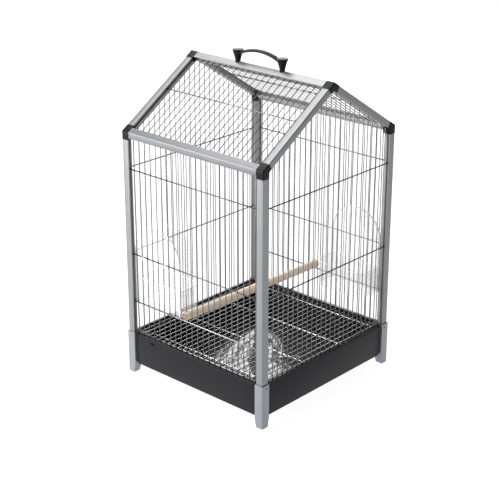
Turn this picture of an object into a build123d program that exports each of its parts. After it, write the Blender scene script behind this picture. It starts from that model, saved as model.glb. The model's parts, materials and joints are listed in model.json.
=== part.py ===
from build123d import *
import math
import os

# House-shaped parrot cage: aluminium frame, wire panels and a moulded base.
# Origin on the floor under the middle of the cage. X runs across the gable, Y along
# the ridge, +Z up. The front gable is at -Y, the rear one at +Y.
# Millimetres.

# Overall frame
width = 450.0
depth = 425.4
seam_z = 105.5          # top of the leg sleeves, where the cage lifts off the base
eave_z = seam_z + 495.5
ridge_z = seam_z + 639.0

# Extruded sections
post_side = 18.0
rafter_deep = 15.0
wall = 1.6
corner_round = 2.0
key_slot = (3.0, 1.6)   # in a post's gable face, over the spigot of its cap
key_slot_in = 5.7       # from the post's outer face
key_slot_down = (12.5, 17.5)  # below the cap
groove_wide = 6.2
groove_deep = 4.5
groove_in = 6.3         # from an outer face to the middle of its groove
eave_face = 14.5
eave_top = 15.0
ridge_face = 17.0
ridge_deep = 13.0
ridge_slot_deep = 4.0

# Wire panels
bar = 2.2               # upright wires
rail = 3.0              # level wires, welded outside the uprights
rail_low = 3.5
bar_in = 8.0            # from the frame's outer face to the uprights' axis
side_bars = 22
gable_gaps = 25
low_z = seam_z + 81.0
mid_z = seam_z + 200.5
high_z = seam_z + 407.0
roof_bar = 2.0
roof_rail = 2.4
roof_rail_x = 101.0
tuck = 3.0              # how far a wire enters a groove

# Corner caps
proud = 0.6
cap_long = 20.5
cap_up = 22.0
cap_down = 28.5
ridge_reach = 22.0
cap_bevel = 1.6
gusset = 5.0            # web in the elbow of an eave cap
spigot_long = 20.0      # peg of an eave cap that stands in the post's core
cap_heel = 3.0          # bevel under the end of an eave cap, below the rail

# Legs
leg_side = 23.0
leg_wall = 1.5
leg_pocket = 44.0
taper_z = 24.0
leg_tip = 18.5
leg_slot = (6.0, 2.2)
leg_slot_z = seam_z - 9.0
screw_z = seam_z - 62.0
screw_in = 14.0         # from the outer face of a post to the leg screw
screw_r = 2.0
screw_reach = 12.0      # how far a leg screw enters the leg
head_deep = 2.3

# Base tub
tub_bottom = seam_z - 80.0
tub_top = seam_z - 2.5
tub_inset = 1.5         # tub wall behind the plane of the posts
tub_wall = 2.5
tub_corner = 7.0
leg_gap = 0.8           # between a leg and the tub's wall
rim_gap = 0.3           # and between a leg and the rim, which stands proud of the wall
step_bevel = 0.5        # inside corner beside a leg
small_corner = 1.5      # least round of the rim's inner edge and of the ledge
rim_wide = 8.5
rim_drop = 8.0
ledge_wide = 16.0
ledge_top = seam_z - 7.5
skirt_slot_y = 135.0
skirt_slot = (16.0, 3.5)

# Floor grille
grille_x = 211.0
grille_y = 199.8
grille_short_x = 192.0
grille_pitch = 16.2
grille_rows = 12        # rows each side of the middle one
grille_bar = 2.2
grille_stiff = 3.0
stiff_x = (-190.5, -64.0, 64.0, 190.5)

# Perch
perch_d = 20.4
perch_end = 222.5
perch_slot = 3.2
perch_slot_deep = 11.0
perch_rest = 0.3

# Feeders
feeder_wide = 145.0
feeder_y = 120.5
feeder_base = seam_z + 78.0
feeder_tall = 200.0
feeder_gap = 0.3
clear_wall = 2.0
hood_deep = 46.0
cup_deep = 72.0
cup_top = seam_z + 143.0
cup_round = 30.0
hook_y = (88.5, 159.3)
hook_wide = 8.0
hook_drop = 8.0
arch_flats = 20

# Handle
handle_y = 66.0
stem_low = 6.0
stem_top = 12.8
stem_tall = 27.0
stem_sink = 4.0
stem_rim = 2.0
stem_bevel = 0.8
stem_sides = 16
stem_steps = 4
stem_flare = 1.3        # power of the height by which the stem widens
grip_thick = 6.5
grip_wide = 10.0
grip_low = 18.5         # middle of the grip above the ridge, at the stems
grip_high = 32.2        # and at its crown
grip_half = 60.0
grip_bevel = 1.4
grip_flats = 14

half_w = width / 2
half_d = depth / 2
side_x = half_w - bar_in
gable_y = half_d - bar_in
side_pitch = (depth - 2 * post_side) / side_bars
gable_pitch = (width - 2 * post_side) / gable_gaps
rail_out = (bar + rail) / 2
slope = math.atan2(ridge_z - eave_z, half_w)
slope_deg = math.degrees(slope)
cos_s = math.cos(slope)
sin_s = math.sin(slope)
slope_long = half_w / cos_s
inner_x = half_w - post_side
inner_y = half_d - post_side

CORNERS = {
    "front_left": (-1, -1),
    "front_right": (1, -1),
    "rear_left": (-1, 1),
    "rear_right": (1, 1),
}
UP = (0, 0, 1)
ALONG_X = (1, 0, 0)
ALONG_Y = (0, 1, 0)
INTO_ROOF = (sin_s, 0, -cos_s)

parts = {}


def roof_z(x):
    """Height of the outer roof plane at a distance x from the ridge."""
    return eave_z + (half_w - abs(x)) * math.tan(slope)


def on_slope(up, into):
    """Point of the left slope: a distance up from the eave, and one below the roof plane."""
    return (-half_w + up * cos_s + into * sin_s, eave_z + up * sin_s - into * cos_s)


def rod(start, end, across, facing):
    """Straight wire of eight flats, one of them facing the wires that it is welded to."""
    start, end = Vector(start), Vector(end)
    plane = Plane(start, x_dir=facing, z_dir=end - start)
    turn = math.pi / 8
    radius = across / 2 / math.cos(turn)
    ring = []
    for k in range(8):
        angle = turn * (2 * k + 1)
        ring.append((radius * math.cos(angle), radius * math.sin(angle)))
    face = make_face(Polyline(*ring, close=True))
    return extrude(plane * face, (end - start).length)


def peg(place, radius, length, sides=12):
    """Small round piece with flats, standing on a plane."""
    return extrude(place * RegularPolygon(radius, sides), length)


def block(x0, x1, y0, y1, z0, z1):
    """Box between two corners."""
    middle = Pos((x0 + x1) / 2, (y0 + y1) / 2, (z0 + z1) / 2)
    return middle * Box(abs(x1 - x0), abs(y1 - y0), abs(z1 - z0))


def prism(points, y0, y1):
    """Outline in X and Z carried along Y."""
    plane = Plane((0, y0, 0), x_dir=(1, 0, 0), z_dir=(0, 1, 0))
    face = make_face(Polyline(*[(x, -z) for x, z in points], close=True))
    return extrude(plane * face, y1 - y0)


def round_edge(solid, height, radius):
    """Round the long edges along Y that lie at one height."""
    edges = solid.edges().filter_by(Axis.Y)
    return fillet([e for e in edges if abs(e.center().Z - height) < 0.05], radius)


def placed(solid, sx, sy):
    """Copy of a piece of the front left corner, mirrored to the corner named by signs."""
    if sx > 0:
        solid = mirror(solid, Plane.YZ)
    if sy > 0:
        solid = mirror(solid, Plane.XZ)
    return solid


def section(deep_u, deep_v):
    """Frame section from its outer corner: a hollow core and a groove in each inner side."""
    face = Pos(deep_u / 2, deep_v / 2) * Rectangle(deep_u, deep_v)
    outer = face.vertices().sort_by(lambda v: v.X + v.Y)[0]
    face = fillet(outer, corner_round)
    core_u = deep_u - groove_deep - 2 * wall
    core_v = deep_v - groove_deep - 2 * wall
    face -= Pos(wall + core_u / 2, wall + core_v / 2) * Rectangle(core_u, core_v)
    face -= Pos(deep_u - groove_deep / 2, groove_in) * Rectangle(groove_deep, groove_wide)
    face -= Pos(groove_in, deep_v - groove_deep / 2) * Rectangle(groove_wide, groove_deep)
    return face


# Posts: hollow extrusions that stand in the leg sleeves and end under the eave caps.
cap_bottom = eave_z - cap_down
post_foot = seam_z - leg_pocket
post_face = section(post_side, post_side)
post = Pos(-half_w, -half_d, post_foot) * extrude(post_face, cap_bottom - post_foot)
for down in key_slot_down:
    key = Box(key_slot[0], wall, key_slot[1])
    post -= Pos(-half_w + key_slot_in, -half_d + wall / 2, cap_bottom - down) * key
for name, (sx, sy) in CORNERS.items():
    parts["post_" + name] = placed(post, sx, sy)


# Black channel strips: L-shaped, pressed into the post grooves beside the rails' ends.
strip_leg = 1.9
strip_base = 0.7
groove_floor = post_side - groove_deep
groove_low = groove_in - groove_wide / 2
strip_face = Pos(groove_floor + strip_base / 2, groove_in) * Rectangle(strip_base, groove_wide)
strip_face += Pos(
    groove_floor + groove_deep / 2, groove_low + groove_wide - strip_leg / 2
) * Rectangle(groove_deep, strip_leg)
strip_long = cap_bottom - seam_z - 1
strip_gable = Pos(-half_w, -half_d, seam_z + 0.5) * extrude(strip_face, strip_long)
swap = Plane((0, 0, 0), x_dir=(0, 0, 1), z_dir=(1, -1, 0))
strip_side = Pos(-half_w, -half_d, seam_z + 0.5) * mirror(extrude(strip_face, strip_long), swap)
parts["post_channel_strips"] = [
    placed(strip, sx, sy) for sx, sy in CORNERS.values() for strip in (strip_gable, strip_side)
]


# Eave rails: an upright face, a top face along the roof, grooves below and inside.
rail_end = half_d - cap_long
eave_low = eave_z - eave_face
eave_outline = [
    (-half_w, eave_low),
    (-half_w, eave_z),
    on_slope(eave_top, 0),
    on_slope(eave_top, rafter_deep),
    (-inner_x, eave_low),
]
eave_rail = round_edge(prism(eave_outline, -rail_end, rail_end), eave_z, corner_round)
eave_rail -= block(
    -half_w + groove_low, -half_w + groove_low + groove_wide,
    -half_d, half_d, eave_low - 1, eave_low + groove_deep,
)
slot_x, slot_z = on_slope(eave_top, groove_in)
roof_slot = Rot(0, -slope_deg, 0) * Box(2 * groove_deep, depth, groove_wide)
eave_rail -= Pos(slot_x, 0, slot_z) * roof_slot
parts["eave_rail_left"] = eave_rail
parts["eave_rail_right"] = mirror(eave_rail, Plane.YZ)


# Ridge bar: two faces along the slopes, with a slot under each for the roof wires.
ridge_left = on_slope(slope_long - ridge_face, 0)
ridge_web = on_slope(slope_long - ridge_face, ridge_deep)
ridge_outline = [
    (0, ridge_z),
    ridge_left,
    ridge_web,
    (-ridge_web[0], ridge_web[1]),
    (-ridge_left[0], ridge_left[1]),
]
ridge_solid = round_edge(prism(ridge_outline, -rail_end, rail_end), ridge_z, corner_round)
slot_x, slot_z = on_slope(slope_long - ridge_face, groove_in)
ridge_slot = Rot(0, -slope_deg, 0) * Box(2 * ridge_slot_deep, depth, groove_wide)
ridge_slot = Pos(slot_x, 0, slot_z) * ridge_slot
ridge_bar = ridge_solid - ridge_slot - mirror(ridge_slot, Plane.YZ)
for sy in (-1, 1):
    ridge_bar -= peg(Plane((0, sy * handle_y, ridge_z - 40)), screw_r + 0.3, 60)
parts["ridge_bar"] = ridge_bar


# Rafters: the gable's sloping bars, with the posts' section, cut square at the caps.
rafter_plane = Plane(
    (-half_w + cap_up * cos_s, -half_d, eave_z + cap_up * sin_s),
    x_dir=INTO_ROOF, z_dir=(cos_s, 0, sin_s),
)
rafter_face = section(rafter_deep, post_side)
rafter = extrude(rafter_plane * rafter_face, slope_long - cap_up - ridge_reach)
for name, (sx, sy) in CORNERS.items():
    parts["rafter_" + name] = placed(rafter, sx, sy)


# Eave caps: moulded elbows that join a post, an eave rail and a rafter.
shell_deep = rafter_deep + proud
outer_x = -half_w - proud
elbow_x = -inner_x + proud
elbow_end = on_slope(cap_up, shell_deep)
elbow_z = elbow_end[1] - (elbow_end[0] - elbow_x) * math.tan(slope)
eave_cap_outline = [
    (outer_x, cap_bottom),
    (outer_x, eave_z - proud * math.tan(slope) + proud / cos_s),
    on_slope(cap_up, -proud),
    elbow_end,
    (elbow_x + gusset * cos_s, elbow_z + gusset * sin_s),
    (elbow_x, elbow_z - gusset),
    (elbow_x, cap_bottom),
]
eave_cap = prism(eave_cap_outline, -half_d - proud, -rail_end)
face_edges = eave_cap.faces().sort_by(Axis.Y)[0].edges()
corner_edges = [
    e for e in eave_cap.edges().filter_by(Axis.Y)
    if e.center().X < outer_x + 0.1 and e.center().Z > eave_z - 5
]
eave_cap = chamfer(face_edges + ShapeList(corner_edges), cap_bevel)
heel_edges = [
    e for e in eave_cap.faces().sort_by(Axis.Z)[0].edges().filter_by(Axis.X)
    if e.center().Y > -rail_end - 0.1
]
eave_cap = chamfer(heel_edges, cap_heel)
spigot_side = post_side - groove_deep - 2 * wall - 0.3
spigot_mid = wall + 0.15 + spigot_side / 2
spigot = Pos(-half_w + spigot_mid, -half_d + spigot_mid, cap_bottom - spigot_long / 2) * Box(
    spigot_side, spigot_side, spigot_long
)
eave_cap += spigot
for name, (sx, sy) in CORNERS.items():
    parts["eave_cap_" + name] = placed(eave_cap, sx, sy)


# Ridge caps: chevrons that join two rafters and the ridge bar.
chevron_left = [
    (0, ridge_z + proud / cos_s),
    on_slope(slope_long - ridge_reach, -proud),
    on_slope(slope_long - ridge_reach, shell_deep),
    (0, ridge_z - shell_deep / cos_s),
]
chevron_right = [(-x, z) for x, z in reversed(chevron_left[1:3])]
ridge_cap = prism(chevron_left + chevron_right, -half_d - proud, -rail_end)
ridge_cap = chamfer(ridge_cap.faces().sort_by(Axis.Y)[0].edges(), cap_bevel)
parts["ridge_cap_front"] = ridge_cap
parts["ridge_cap_rear"] = mirror(ridge_cap, Plane.XZ)


# Side panels: uprights between the base rim and the eave rail, rails outside them,
# and one wire along the foot of the uprights on the inside.
bar_foot = tub_top + 0.3
foot_z = bar_foot + rail / 2 + 0.7
foot_x = half_w - leg_side + (leg_side - post_side) / 2 - leg_gap
foot_y = foot_x - half_w + half_d


def side_panel():
    """Wires of the left side, each its own solid, touching where they are welded."""
    wires = []
    for k in range(side_bars):
        y = (k - (side_bars - 1) / 2) * side_pitch
        wires.append(rod((-side_x, y, bar_foot), (-side_x, y, eave_low + tuck), bar, ALONG_X))
    reach = inner_y + tuck
    for z, across in ((low_z, rail_low), (mid_z, rail), (high_z, rail)):
        x = -side_x - (bar + across) / 2
        wires.append(rod((x, -reach, z), (x, reach, z), across, ALONG_X))
    x = -side_x + rail_out
    wires.append(rod((x, -foot_y, foot_z), (x, foot_y, foot_z), rail, ALONG_X))
    return wires


parts["side_wires_left"] = side_panel()
parts["side_wires_right"] = [mirror(wire, Plane.YZ) for wire in side_panel()]


# Gable panels: uprights to the rafters, with two rails outside them and a foot wire.
def gable_top(x):
    """Where an upright ends: in the rafter's groove, or just under a cap."""
    hidden = shell_deep / cos_s + 1.2
    if gable_pitch / 2 < abs(x) < -elbow_end[0] - bar:
        hidden = rafter_deep / cos_s - tuck
    return roof_z(x) - hidden


def gable_panel():
    """Wires of the front gable, each its own solid."""
    wires = []
    last = (gable_gaps - 1) // 2
    for k in range(-last, last + 1):
        x = k * gable_pitch
        wires.append(rod((x, -gable_y, bar_foot), (x, -gable_y, gable_top(x)), bar, ALONG_X))
    reach = inner_x + tuck
    y = -gable_y - rail_out
    for z in (mid_z, high_z):
        wires.append(rod((-reach, y, z), (reach, y, z), rail, ALONG_Y))
    y = -gable_y + rail_out
    wires.append(rod((-foot_x, y, foot_z), (foot_x, y, foot_z), rail, ALONG_Y))
    return wires


parts["gable_wires_front"] = gable_panel()
parts["gable_wires_rear"] = [mirror(wire, Plane.XZ) for wire in gable_panel()]


# Roof panels: straight wires up the slope and one rail across them.
def roof_panel():
    """Wires of the left slope, from the slot in the eave rail to the ridge bar's slot."""
    wires = []
    low = on_slope(eave_top - tuck, bar_in)
    high = on_slope(slope_long - ridge_face + tuck, bar_in)
    for k in range(side_bars):
        y = (k - (side_bars - 1) / 2) * side_pitch
        wires.append(rod((low[0], y, low[1]), (high[0], y, high[1]), roof_bar, ALONG_Y))
    up = (half_w - roof_rail_x) / cos_s
    x, z = on_slope(up, bar_in - (roof_bar + roof_rail) / 2)
    reach = inner_y + tuck
    wires.append(rod((x, -reach, z), (x, reach, z), roof_rail, INTO_ROOF))
    return wires


parts["roof_wires_left"] = roof_panel()
parts["roof_wires_right"] = [mirror(wire, Plane.YZ) for wire in roof_panel()]


# Legs: sleeves that take the posts, with their inner sides tapered below the skirt.
leg_over = (leg_side - post_side) / 2
leg_corner = Pos(-half_w - leg_over, -half_d - leg_over)


def leg_face(side, height):
    """Square from the leg's outer corner at one height."""
    return leg_corner * Pos(side / 2, side / 2, height) * Rectangle(side, side)


leg = loft([leg_face(leg_tip, 0), leg_face(leg_side, taper_z)])
leg += extrude(leg_face(leg_side, taper_z), seam_z - taper_z)
leg = fillet(
    [e for e in leg.edges().filter_by(Axis.Z)
     if e.center().X < -half_w and e.center().Y < -half_d], corner_round
)
pocket = leg_side - 2 * leg_wall
leg -= extrude(leg_corner * Pos(leg_side / 2, leg_side / 2, post_foot) * Rectangle(pocket, pocket),
               leg_pocket + 1)
leg -= Pos(-half_w + 12, -half_d - leg_over, leg_slot_z) * Box(leg_slot[0], 4, leg_slot[1])
leg_in = -half_w - leg_over + leg_side
screw_y = -half_d + screw_in
leg -= peg(Plane((leg_in - screw_reach - 1, screw_y, screw_z), z_dir=ALONG_X), screw_r + 0.05, 26)
for name, (sx, sy) in CORNERS.items():
    parts["leg_" + name] = placed(leg, sx, sy)


# Base tub: one moulding whose corners step in round the legs, with a rim, a floor
# and a ledge for the grille.
tub_x = half_w - tub_inset
tub_y = half_d - tub_inset
notch = tub_x + leg_in + leg_gap


def tub_plan(inset, extra=0.0):
    """Tub outline, moved in by inset, with a square step at each corner. Its rounds are drawn
    with three flats each."""
    x, y = tub_x - inset, tub_y - inset
    step = notch + extra
    radius = max(tub_corner - inset, small_corner)
    turns = [math.radians(angle) for angle in (0, 30, 60, 90)]
    rounds = [(radius * (math.cos(turn) - 1), radius * (math.sin(turn) - 1)) for turn in turns]
    quarter = [(x + u, y - step + v) for u, v in rounds]
    quarter += [(x - step + step_bevel, y - step), (x - step, y - step + step_bevel)]
    quarter += [(x - step + u, y + v) for u, v in rounds]
    half = quarter + [(-u, v) for u, v in reversed(quarter)]
    return make_face(Polyline(*half, *[(-u, -v) for u, v in half], close=True))


def layer(face, low, high):
    """Outline carried from one height to another."""
    return extrude(Pos(0, 0, low) * face, high - low)


rim_plan = tub_plan(-tub_inset, tub_inset - leg_gap + rim_gap)
tub = layer(tub_plan(0), tub_bottom, tub_top)
tub = chamfer(tub.faces().sort_by(Axis.Z)[0].edges(), 1.2)
tub -= layer(tub_plan(tub_wall), tub_bottom + tub_wall, tub_top + 1)
rim = layer(rim_plan, tub_top - rim_drop, tub_top) - layer(
    tub_plan(0.5), tub_top - rim_drop - 1, tub_top - tub_wall
)
tub += rim - layer(tub_plan(rim_wide), tub_top - rim_drop - 1, tub_top + 1)
tub += layer(tub_plan(1.0) - tub_plan(ledge_wide), ledge_top - tub_wall, ledge_top)
slot_top = tub_top - rim_drop - 0.5
for sy in (-1, 1):
    y = sy * skirt_slot_y
    tub -= block(-half_w - 1, half_w + 1, y - skirt_slot[0] / 2, y + skirt_slot[0] / 2,
                 slot_top - skirt_slot[1], slot_top)
screw_hole = peg(Plane((leg_in, screw_y, screw_z), z_dir=ALONG_X), screw_r + 0.2, 6)
for sx, sy in CORNERS.values():
    tub -= placed(screw_hole, sx, sy)
parts["base_tub"] = tub


# Leg screws: pan heads inside the tub, shanks into the legs.
head_x = leg_in + leg_gap + tub_wall
leg_screw = peg(Plane((leg_in - screw_reach, screw_y, screw_z), z_dir=ALONG_X), screw_r,
                head_x - leg_in + screw_reach)
pan = peg(Plane((head_x, screw_y, screw_z), z_dir=ALONG_X), 2 * screw_r, head_deep)
leg_screw += chamfer(pan.faces().sort_by(Axis.X)[-1].edges(), 0.8)
parts["leg_screws"] = [placed(leg_screw, sx, sy) for sx, sy in CORNERS.values()]


# Floor grille: close rows on four stiffeners, two of the rows heavier.
stiff_z = ledge_top + grille_stiff / 2
row_low = ledge_top + grille_stiff
grille = [
    rod((x, -grille_y, stiff_z), (x, grille_y, stiff_z), grille_stiff, ALONG_X) for x in stiff_x
]
for k in range(-grille_rows, grille_rows + 1):
    across = grille_stiff if abs(k) == grille_rows - 1 else grille_bar
    x = grille_short_x if abs(k) == grille_rows else grille_x
    y = k * grille_pitch
    z = row_low + across / 2
    grille.append(rod((-x, y, z), (x, y, z), across, ALONG_Y))
parts["floor_grille"] = grille


# Perch: a wooden dowel, slotted at each end over an upright, resting on the low rails.
# One end sits a wire further back than the other.
perch_z = low_z + rail_low / 2 + perch_rest + perch_d / 2
perch_turn = math.degrees(math.atan2(side_pitch, 2 * side_x))
perch = Rot(0, 90, 0) * Cylinder(perch_d / 2, 2 * perch_end)
perch = chamfer(perch.edges(), 1.2)
for sx in (-1, 1):
    perch -= Pos(sx * perch_end, 0, 0) * Box(2 * perch_slot_deep, perch_slot, perch_d + 1)
parts["perch"] = Pos(0, side_pitch, perch_z) * Rot(0, 0, -perch_turn) * perch


# Feeders: a clear arched hood that hooks over a rail, with a clear cup in its foot.
back_x = -side_x + bar / 2 + feeder_gap


def arch(half, low, x):
    """Doorway outline on a plane across X: straight sides under a half round of flats."""
    spring = feeder_base + feeder_tall - feeder_wide / 2
    turns = [math.pi * k / arch_flats for k in range(arch_flats + 1)]
    top = [(half * math.cos(turn), spring + half * math.sin(turn)) for turn in turns]
    outline = make_face(Polyline(*top, (-half, low), (half, low), close=True))
    return Plane((x, feeder_y, 0), x_dir=ALONG_Y, z_dir=ALONG_X) * outline


half_f = feeder_wide / 2
hood = extrude(arch(half_f, feeder_base, back_x), hood_deep)
hood -= extrude(arch(half_f - clear_wall, feeder_base - 1, back_x + clear_wall), hood_deep)
for sy in (-1, 1):
    side = feeder_y + sy * half_f
    hood += block(back_x, back_x + hood_deep, side, side - sy * 6, feeder_base,
                  feeder_base + clear_wall)
hook_low = mid_z + rail / 2 + feeder_gap
hook_out = -side_x - bar / 2 - rail - 0.6
for y in hook_y:
    y0, y1 = y - hook_wide / 2, y + hook_wide / 2
    hood += block(hook_out - clear_wall, back_x + 1, y0, y1, hook_low, hook_low + clear_wall)
    hood += block(hook_out - clear_wall, hook_out, y0, y1, hook_low - hook_drop, hook_low)

cup_x = back_x + clear_wall + feeder_gap
cup_half = half_f - clear_wall - feeder_gap
cup_low = feeder_base + clear_wall + feeder_gap


def cup_plan(inset):
    """Cup outline: flat at the back, with two large rounds at the front."""
    face = Pos(cup_x + cup_deep / 2, feeder_y) * Rectangle(
        cup_deep - 2 * inset, 2 * (cup_half - inset)
    )
    front = face.vertices().sort_by(Axis.X)[-2:]
    return fillet(front, cup_round - inset)


cup = layer(cup_plan(0), cup_low, cup_top)
cup -= layer(cup_plan(clear_wall), cup_low + clear_wall, cup_top + 1)
for name, turn in (("left", 0), ("right", 180)):
    parts["feeder_hood_" + name] = Rot(0, 0, turn) * hood
    parts["feeder_cup_" + name] = Rot(0, 0, turn) * cup


# Handle: two flared stems astride the ridge and a thin arched grip between them.
rise = grip_high - grip_low
grip_r = (grip_half ** 2 + rise ** 2) / (2 * rise)
grip_mid_z = ridge_z + grip_high - grip_r
grip_turn = math.asin(grip_half / grip_r)
yz = Plane((-grip_wide / 2, 0, grip_mid_z), x_dir=ALONG_Y, z_dir=ALONG_X)
band = []
for radius, way in ((grip_r + grip_thick / 2, 1), (grip_r - grip_thick / 2, -1)):
    for k in range(grip_flats + 1):
        turn = way * grip_turn * (2 * k / grip_flats - 1)
        band.append((radius * math.sin(turn), radius * math.cos(turn)))
grip = extrude(yz * make_face(Polyline(*band, close=True)), grip_wide)
long_edges = [
    e for e in grip.edges()
    if abs(e.tangent_at(0).X) < 0.1 and abs(abs(e.center().Y) - grip_half) > 1
]
grip = chamfer(long_edges, grip_bevel)
parts["handle_grip"] = grip


def stem_ring(radius, height):
    """Corners of a level polygon about the stem's axis."""
    turns = [2 * math.pi * k / stem_sides for k in range(stem_sides)]
    return [Vector(radius * math.cos(turn), radius * math.sin(turn), height) for turn in turns]


def flared(rings):
    """Solid between stacked polygons, with a flat face between each two of their corners."""
    faces = [Face(Wire.make_polygon(rings[0])), Face(Wire.make_polygon(rings[-1]))]
    for low, high in zip(rings, rings[1:]):
        for k in range(stem_sides):
            after = (k + 1) % stem_sides
            faces.append(Face(Wire.make_polygon([low[k], low[after], high[after], high[k]])))
    return Solid(Shell(faces))


rings = [stem_ring(stem_low, -stem_sink)]
for k in range(stem_steps + 1):
    up = k / stem_steps
    radius = stem_low + (stem_top - stem_low) * up ** stem_flare
    rings.append(stem_ring(radius, up * (stem_tall - stem_rim)))
rings.append(stem_ring(stem_top, stem_tall - stem_bevel))
rings.append(stem_ring(stem_top - stem_bevel, stem_tall))
stem = Pos(0, -handle_y, ridge_z) * flared(rings)
stem -= prism(ridge_outline, -rail_end, rail_end)
stem -= grip
stem -= peg(Plane((0, -handle_y, ridge_z - stem_sink)), screw_r + 0.05, stem_sink + 13)
parts["handle_stem_front"] = stem
parts["handle_stem_rear"] = mirror(stem, Plane.XZ)

web_low = ridge_web[1]
handle_screw = peg(Plane((0, -handle_y, web_low)), screw_r, ridge_z + 12 - web_low)
handle_pan = peg(Plane((0, -handle_y, web_low - head_deep)), 2 * screw_r, head_deep)
handle_screw += chamfer(handle_pan.faces().sort_by(Axis.Z)[0].edges(), 0.8)
parts["handle_screws"] = [handle_screw, mirror(handle_screw, Plane.XZ)]


os.makedirs("parts", exist_ok=True)
for name, shape in parts.items():
    items = shape if isinstance(shape, list) else [shape]
    solids = [solid for item in items for solid in item.solids()]
    export_step(Compound(children=solids), "parts/" + name + ".step")
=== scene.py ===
import json
import math

import bpy
import numpy as np
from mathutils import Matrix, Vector


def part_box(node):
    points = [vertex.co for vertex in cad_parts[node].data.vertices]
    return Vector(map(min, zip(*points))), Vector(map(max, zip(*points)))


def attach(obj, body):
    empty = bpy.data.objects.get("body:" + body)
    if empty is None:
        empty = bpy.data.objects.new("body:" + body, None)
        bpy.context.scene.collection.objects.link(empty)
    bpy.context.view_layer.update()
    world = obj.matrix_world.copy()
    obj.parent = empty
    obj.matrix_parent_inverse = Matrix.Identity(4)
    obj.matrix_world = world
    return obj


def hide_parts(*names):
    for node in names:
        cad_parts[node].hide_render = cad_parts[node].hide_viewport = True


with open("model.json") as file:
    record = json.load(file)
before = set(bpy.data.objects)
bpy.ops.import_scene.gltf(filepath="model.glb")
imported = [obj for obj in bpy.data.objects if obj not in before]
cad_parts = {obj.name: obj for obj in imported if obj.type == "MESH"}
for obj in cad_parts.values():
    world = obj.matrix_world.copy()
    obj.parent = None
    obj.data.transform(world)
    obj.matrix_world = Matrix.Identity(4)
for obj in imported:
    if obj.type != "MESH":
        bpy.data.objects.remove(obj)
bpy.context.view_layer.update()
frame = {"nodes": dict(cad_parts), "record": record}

# Base tub: one tray moulded in dark plastic, whose corners step in round the four legs.
# Its rim carries a shallow lip outside and a ledge inside that the floor grille lies on.
# Two short slots near the ends of each long wall go right through it.


class Link:
    """Output of a shader node. Arithmetic on it adds Math nodes to its finish."""

    def __init__(self, finish, socket):
        self.finish = finish
        self.socket = socket

    def maths(self, operation, first, second):
        return self.finish.node("Math", {"operation": operation}, {0: first, 1: second})

    def __add__(self, other):
        return self.maths("ADD", self, other)

    def __sub__(self, other):
        return self.maths("SUBTRACT", self, other)

    def __rsub__(self, other):
        return self.maths("SUBTRACT", other, self)

    def __mul__(self, other):
        return self.maths("MULTIPLY", self, other)

    def __pow__(self, other):
        return self.maths("POWER", self, other)

    def __gt__(self, other):
        return self.maths("GREATER_THAN", self, other)

    def __abs__(self):
        return self.maths("ABSOLUTE", self, 0.0)

    __radd__ = __add__
    __rmul__ = __mul__


class Finish:
    """A material, with one method that adds any node to its shader."""

    def __init__(self, name, **constants):
        self.material = bpy.data.materials.new(name)
        self.material.use_nodes = True
        self.tree = self.material.node_tree
        self.shader = self.tree.nodes["Principled BSDF"]
        self.set(**constants)

    def node(self, kind, settings, values, output=0):
        """A node of a kind: its settings first, then the values or links of its sockets."""
        made = self.tree.nodes.new("ShaderNode" + kind)
        for name, value in settings.items():
            if name == "stops":
                ramp = made.color_ramp.elements
                while len(ramp) < len(value):
                    ramp.new(1.0)
                for element, (place, colour) in zip(ramp, value):
                    element.position = place
                    element.color = (*colour, 1.0)
            else:
                setattr(made, name, value)
        for name, value in values.items():
            self.put(made.inputs[name], value)
        return Link(self, made.outputs[output])

    def put(self, socket, value):
        if isinstance(value, Link):
            self.tree.links.new(value.socket, socket)
        else:
            socket.default_value = value

    def set(self, **values):
        """Values or links of the surface shader, by its sockets' names."""
        for name, value in values.items():
            self.put(self.shader.inputs[name.replace("_", " ")], value)

    def place(self, scale=(1, 1, 1), turn=(0, 0, 0)):
        """The surface's place on the object, on axes that are turned and then scaled."""
        where = self.node("TexCoord", {}, {}, output="Object")
        shrink = tuple(1 / one for one in scale)
        return self.node("Mapping", {"vector_type": "TEXTURE"},
                         {0: where, "Rotation": turn, "Scale": shrink})

    def at(self, axis):
        """The surface's place on the object along one axis, in metres."""
        where = self.node("TexCoord", {}, {}, output="Object")
        return self.node("SeparateXYZ", {}, {0: where}, output=axis)

    def noise(self, where, scale, detail=3.0):
        return self.node("TexNoise", {}, {"Vector": where, "Scale": scale, "Detail": detail})

    def mix(self, factor, first, second):
        """Blend of two colours."""
        first, second = (one if isinstance(one, Link) else (*one, 1) for one in (first, second))
        return self.node("Mix", {"data_type": "RGBA"}, {0: factor, 6: first, 7: second}, output=2)

    def bump(self, height, strength, depth):
        return self.node("Bump", {}, {"Strength": strength, "Distance": depth, "Height": height})


def dull_plastic(name, dark, light, roughness, grain):
    """Moulded plastic: fine grain, and broad faint patches where hands have polished it."""
    finish = Finish(name, Specular_IOR_Level=0.1)
    where = finish.place()
    patches = finish.noise(where, 14.0)
    fine = finish.noise(where, grain, detail=2.0)
    scuffs = finish.noise(finish.place(scale=(1, 1, 0.25)), 90.0, detail=5.0)
    finish.set(
        Base_Color=finish.mix(patches * 0.7 + scuffs * 0.3, dark, light),
        Roughness=roughness - 0.06 + patches * 0.08 + scuffs * 0.05,
        Normal=finish.bump(fine, 0.25, 0.0001),
    )
    return finish


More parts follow.
